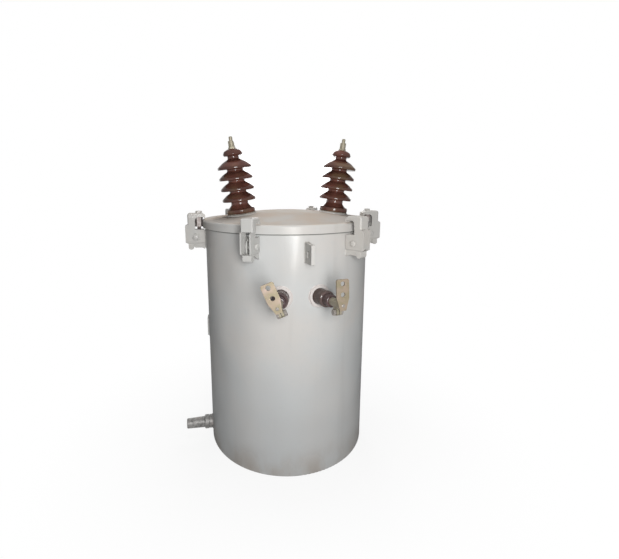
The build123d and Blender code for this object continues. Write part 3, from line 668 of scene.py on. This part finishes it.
steel = Finish("dull steel bolt", Specular_IOR_Level=0.4)
steel_cloud = steel.noise(120.0, 4.0, 0.6)
steel_tone = steel.mix(steel_cloud.span(0.35, 0.65), (0.20, 0.165, 0.155), (0.36, 0.33, 0.315))
steel_tone = steel.mix(steel.noise(260.0, 3.0).span(0.6, 0.75) * 0.6, steel_tone, (0.12, 0.075, 0.055))
steel.feed("Base Color", steel_tone)
steel.feed("Metallic", 0.3 + steel_cloud * 0.3)
steel.feed("Roughness", 0.4 + steel_cloud * 0.25)
steel.feed("Normal", steel.bump(steel_cloud, 0.3, 0.001))
hook_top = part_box("clamp_hook_left")[1].z
for clamp in BOLT_CLAMPS:
    azimuth = radians(CLAMPS[clamp])
    outward = Matrix.Rotation(azimuth, 4, "Z")
    place = Matrix.Translation((BOLT_AT_R * sin(azimuth), -BOLT_AT_R * cos(azimuth), hook_top)) @ outward
    hexagon("hold_down_head_" + clamp, HEAD_FLATS, HEAD_LOW, HEAD_HIGH, place, fitting_enamel)
    hexagon("hold_down_nut_" + clamp, NUT_FLATS, NUT_LOW, NUT_HIGH, place, steel.material)
    thread = [(0, THREAD_LOW), (CORE_R, THREAD_LOW)]
    for k in range(THREAD_TURNS):
        root_z = THREAD_LOW + 0.5 + k * THREAD_PITCH
        thread += [(CORE_R, root_z), (THREAD_R, root_z + THREAD_PITCH / 2)]
    thread += [(CORE_R, NUT_LOW + 1), (0, NUT_LOW + 1)]
    lathe("hold_down_thread_" + clamp, thread, place, steel.material, sides=32)

# Front lug
# A sheared flat bar of steel with one drilled hole. It is welded on edge to the wall between the two
# front clamps, and painted with it.
FRONT_LUG_AZIMUTH = 0.3
FRONT_LUG_ROOT_HALF = 4.7 * MM
bevelled("front_lug", 0.9 * MM, fitting_enamel)
front_low, front_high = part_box("front_lug")
front_root = wall_rectangle(radians(FRONT_LUG_AZIMUTH), FRONT_LUG_ROOT_HALF, front_low.z, front_high.z)
weld("front_lug_weld", [front_root], fitting_enamel)

# High-voltage bushings
# Turned porcelain under a poured red-brown glaze, which runs thin and olive on the slopes, with painted
# shade darkening the rims. Each leans outwards on the cover, on a thin seat of cork rubber.
HV_GASKET_T = 2.5 * MM


def hv_place(side):
    """Matrix of a high-voltage bushing, from its tip's mount: Z along its axis, origin on its seat."""
    mount = mounts["hv_" + side + "_tip"]
    axis = Vector(mount["axis"])
    tip = Vector(mount["pos_m"])
    low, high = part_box("hv_gasket_" + side)
    middle = (low + high) / 2
    origin = tip - axis * ((tip - middle).dot(axis) + HV_GASKET_T / 2)
    turn = axis.to_track_quat("Z", "Y").to_matrix().to_4x4()
    return Matrix.Translation(origin) @ turn


def glaze(name, place, dark, red, olive, rim_r, neck_r, shine):
    """Poured glaze in the frame of one bushing: olive where it runs thin on the slopes, painted shade on the
    rims.
    """
    finish = Finish(name, Specular_IOR_Level=0.02, Coat_Weight=shine, Coat_Roughness=0.07, Coat_IOR=3.0)
    local = finish.node("Mapping", {"vector_type": "TEXTURE"}, {
        "Vector": finish.place, "Location": place.to_translation(), "Rotation": place.to_euler()})
    radius = finish.from_axis(local)
    cloud = finish.noise(24.0, 4.0, 0.6)
    patch = finish.noise(13.0, 2.0, 0.5, at=(0.4, 0.1, 0.7))
    colour = finish.mix(cloud.span(0.3, 0.7), dark, red)
    slope = radius.span(neck_r, rim_r) * patch.span(0.4, 0.64)
    colour = finish.mix(slope * 0.9, colour, olive)
    # Painted shade: the outer 4 mm of each rim is darkened.
    rim = radius.span(rim_r - 4 * MM, rim_r) * 0.5
    colour = finish.mix(rim, colour, tuple(c * 0.6 for c in dark))
    speck = finish.noise(700.0, 2.0, 0.5).span(0.66, 0.78)
    colour = finish.mix(speck * 0.5, colour, tuple(c * 0.3 for c in dark))
    finish.feed("Base Color", colour)
    finish.feed("Roughness", 0.09 + cloud * 0.08 + finish.noise(90.0).span(0.6, 0.9) * 0.12)
    ripple = finish.bump(finish.noise(70.0, 2.0), 0.14, 0.0014)
    finish.feed("Normal", finish.bump(finish.noise(380.0, 2.0), 0.03, 0.0008, ripple))
    return finish.material


SHED_R = 47.5
SHED_LIP = 3.1
SHED_RISES = (20.0, 20.0, 20.0, 24.0)
SHED_BULGE = 2.2
NECKS = (24.5, 23.875, 23.25, 22.625, 16.0)
SHED_RIMS = (39.5, 69.0, 98.5, 128.0)


def hv_outline():
    """Spigot, foot with a flare, four sheds between the necks, and a mushroom cap. In mm."""
    corners = [(0, -35.5, 0), (20.2, -35.5, 0.5), (20.2, 2.5, 0.3), (41, 2.5, 3), (41, 14, 5),
               (33.5, 16.5, 4), (24.5, 26, 8)]
    for below, above, rim, rise in zip(NECKS, NECKS[1:], SHED_RIMS, SHED_RISES):
        corners += [
            (below, rim - SHED_LIP + 1.2, 3.5),
            (SHED_R, rim - SHED_LIP, 2.6),
            (SHED_R, rim + SHED_LIP, 3.4),
            ((above + SHED_R) / 2, rim + (SHED_LIP + rise) / 2 + SHED_BULGE, 45),
            (above, rim + rise, 4),
        ]
    corners += [(16, 161.5, 2.5), (24.5, 160, 3), (27.5, 165, 4), (23.5, 173.5, 8), (13, 178.5, 3),
                (0, 178.5, 0)]
    return rounded(corners)


for side in ("left", "right"):
    place = hv_place(side)
    coat = glaze("red brown glaze " + side, place, (0.095, 0.036, 0.026), (0.175, 0.068, 0.05),
                 (0.175, 0.115, 0.062), rim_r=SHED_R * MM, neck_r=24 * MM, shine=0.09)
    lathe("hv_porcelain_" + side, hv_outline(), place, coat, "hv_bushing_" + side, sides=112)

cork = Finish("cork rubber", Specular_IOR_Level=0.2)
cork_grain = cork.noise(320.0, 4.0).span(0.35, 0.65)
cork.feed("Base Color", cork.mix(cork_grain, (0.20, 0.175, 0.14), (0.38, 0.34, 0.285)))
cork.feed("Roughness", 0.75 + cork.noise(150.0) * 0.2)
cork.feed("Normal", cork.bump(cork.noise(400.0, 4.0), 0.4, 0.001))
for side in ("left", "right"):
    finish_node("hv_gasket_" + side, cork.material)

# Terminals, clamps and spades
# Cast bronze terminals and clamp sleeves and rolled bronze spades, tinned or passivated, dull with
# yellow, green and pink tints. A zinc-plated cross bolt closes each sleeve on its stud.


def bronze(name, base, tint, pink):
    """Dull plated metal in three tints, with a fine grain and bright edges."""
    finish = Finish(name, Specular_IOR_Level=0.5)
    cloud = finish.noise(60.0, 3.0)
    colour = finish.mix(cloud.span(0.35, 0.65), base, tint)
    colour = finish.mix(finish.noise(34.0, 2.0, at=(0.2, 0.5, 0.1)).span(0.5, 0.7) * 0.7, colour, pink)
    grain = finish.noise(240.0, 4.0, 0.6, stretch=(1, 1, 0.12))
    edge = finish.node("Attribute", {"attribute_name": "edge"}, output="Fac")
    colour = finish.mix(grain.span(0.55, 0.8) * 0.3, colour, tuple(c * 0.45 for c in base))
    colour = finish.mix(edge * 0.45, colour, tuple(min(1.0, c * 1.5) for c in base))
    finish.feed("Base Color", colour)
    finish.feed("Metallic", 0.5 + edge * 0.2)
    finish.feed("Roughness", 0.4 + grain * 0.2 - edge * 0.08)
    finish.feed("Normal", finish.bump(grain, 0.12, 0.0008))
    return finish.material


terminal_bronze = bronze("tinned bronze", (0.305, 0.272, 0.21), (0.25, 0.228, 0.16), (0.36, 0.31, 0.26))
spade_bronze = bronze("rolled bronze", (0.31, 0.245, 0.185), (0.25, 0.215, 0.14), (0.38, 0.29, 0.255))
zinc = bronze("zinc plate", (0.34, 0.31, 0.285), (0.25, 0.23, 0.21), (0.40, 0.34, 0.29))

for side in ("left", "right"):
    bevelled("hv_terminal_" + side, 0.5 * MM, terminal_bronze)
    bevelled("lv_clamp_" + side, 0.7 * MM, terminal_bronze)
    bevelled("lv_clamp_bolt_" + side, 0.6 * MM, zinc)
    bevelled("lv_spade_" + side, 0.6 * MM, spade_bronze)

# Low-voltage bushings
# Darker purple-brown porcelain goes through the wall in a raised steel ring, which is welded on. A
# small zinc-plated screw holds each spade.
ring_enamel = enamel("ring enamel", (0.66, 0.615, 0.59), (0.68, 0.61, 0.58))
LV_AZIMUTHS = {"left": -15.0, "right": 8.7}
LV_Z = 0.5065
LV_TIP = radians(4.5)
LV_RING_R = 28.6 * MM
LV_BEAD_R = 1.6 * MM
SCREW_LIFT = 2.4 * MM
LV_OUTLINE = rounded([
    (0, -30, 0), (20.5, -30, 1), (20.5, 8, 0), (20.5, 14, 2), (19.6, 16, 1), (20.5, 18, 2), (20.5, 44, 5),
    (17.5, 45.5, 1.5), (15.5, 47, 2), (15.5, 56, 1), (14.9, 57.5, 1), (15.5, 59, 1), (15.5, 70, 4),
    (0, 70, 0)])
SPADE_SCREW = rounded([(0, -0.6, 0), (4.2, -0.6, 0), (4.2, 0.7, 0.8), (2.4, 1.4, 0.8), (1.7, 1.4, 0.2),
                       (1.4, 0.6, 0.2), (0, 0.6, 0)])
for side, azimuth in LV_AZIMUTHS.items():
    axis = Vector(mounts["lv_" + side + "_hole_lower"]["axis"])
    origin = on_wall(radians(azimuth), LV_Z)
    place = Matrix.Translation(origin) @ axis.to_track_quat("Z", "Y").to_matrix().to_4x4()
    coat = glaze("purple brown glaze " + side, place, (0.042, 0.023, 0.027), (0.10, 0.06, 0.06),
                 (0.12, 0.085, 0.065), rim_r=30 * MM, neck_r=10 * MM, shine=0.13)
    lathe("lv_porcelain_" + side, LV_OUTLINE, place, coat, "lv_bushing_" + side)
    bevelled("lv_boss_" + side, 0.8 * MM, ring_enamel)
for side in LV_AZIMUTHS:
    lower, upper = (mounts["lv_%s_hole_%s" % (side, level)] for level in ("lower", "upper"))
    axis = Vector(lower["axis"])
    middle = Vector(lower["pos_m"]) * 2 - Vector(upper["pos_m"]) + axis * SCREW_LIFT
    place = Matrix.Translation(middle) @ axis.to_track_quat("Z", "Y").to_matrix().to_4x4()
    lathe("spade_screw_" + side, SPADE_SCREW, place, zinc, sides=32)
weld("lv_boss_welds", [
    wall_circle(radians(a), LV_Z, LV_RING_R, LV_TIP) for a in LV_AZIMUTHS.values()
], ring_enamel, radius=LV_BEAD_R)

# Drain fitting
# A chamfered collar of galvanised malleable iron is welded to the wall near the bottom, and a long
# plug of the same mottled grey iron is screwed into it.
DRAIN_RING_R = 20.8 * MM
iron = Finish("galvanised iron", Specular_IOR_Level=0.5)
spangle = iron.node("TexVoronoi", {"feature": "F1"}, {"Vector": iron.place, "Scale": 150.0}, output="Color")
spangle_tone = iron.node("SeparateColor", None, {0: spangle})
mottle = iron.noise(60.0, 4.0, 0.6)
iron_colour = iron.mix(mottle.span(0.35, 0.65), (0.15, 0.145, 0.14), (0.29, 0.28, 0.27))
iron_colour = iron.mix(spangle_tone.span(0.2, 0.9) * 0.4, iron_colour, (0.36, 0.355, 0.345))
iron_colour = iron.mix(iron.noise(30.0, 3.0).span(0.55, 0.75) * 0.4, iron_colour, (0.30, 0.24, 0.22))
iron.feed("Base Color", iron_colour)
iron.feed("Metallic", 0.35 + spangle_tone * 0.3)
iron.feed("Roughness", 0.38 + mottle * 0.25)
iron.feed("Normal", iron.bump(mottle, 0.35, 0.0015))
bevelled("drain_collar", 0.6 * MM, iron.material)
bevelled("drain_plug", 1.6 * MM, iron.material, segments=3)
drain_low, drain_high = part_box("drain_collar")
drain_root = wall_circle(radians(-90), (drain_low.z + drain_high.z) / 2, DRAIN_RING_R)
weld("drain_weld", [drain_root], iron.material)

# Side pad and hanger brackets
# The pad is flat steel plate, and the two hanger brackets on the pole side are pressed channels with
# a slot. All are welded to the wall and painted with it.
PAD_AZIMUTH = -93
PAD_HALF = 22 * MM
HANGER_BEAD_GAP = 0.6 * MM
bevelled("side_pad", 0.9 * MM, fitting_enamel)
pad_low, pad_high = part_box("side_pad")
pad_root = wall_rectangle(radians(PAD_AZIMUTH), PAD_HALF, pad_low.z, pad_high.z)
weld("side_pad_weld", [pad_root], tank_enamel)
for level_name in ("lower", "upper"):
    bevelled("hanger_bracket_" + level_name, 0.9 * MM, fitting_enamel)
    low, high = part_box("hanger_bracket_" + level_name)
    turn = asin((high.x + HANGER_BEAD_GAP) / TANK_R)
    heights = [low.z + (high.z - low.z) * k / 10 for k in range(11)]
    hanger_roots = [[on_wall(pi + edge, z) for z in heights] for edge in (turn, -turn)]
    weld("hanger_weld_" + level_name, hanger_roots, fitting_enamel)
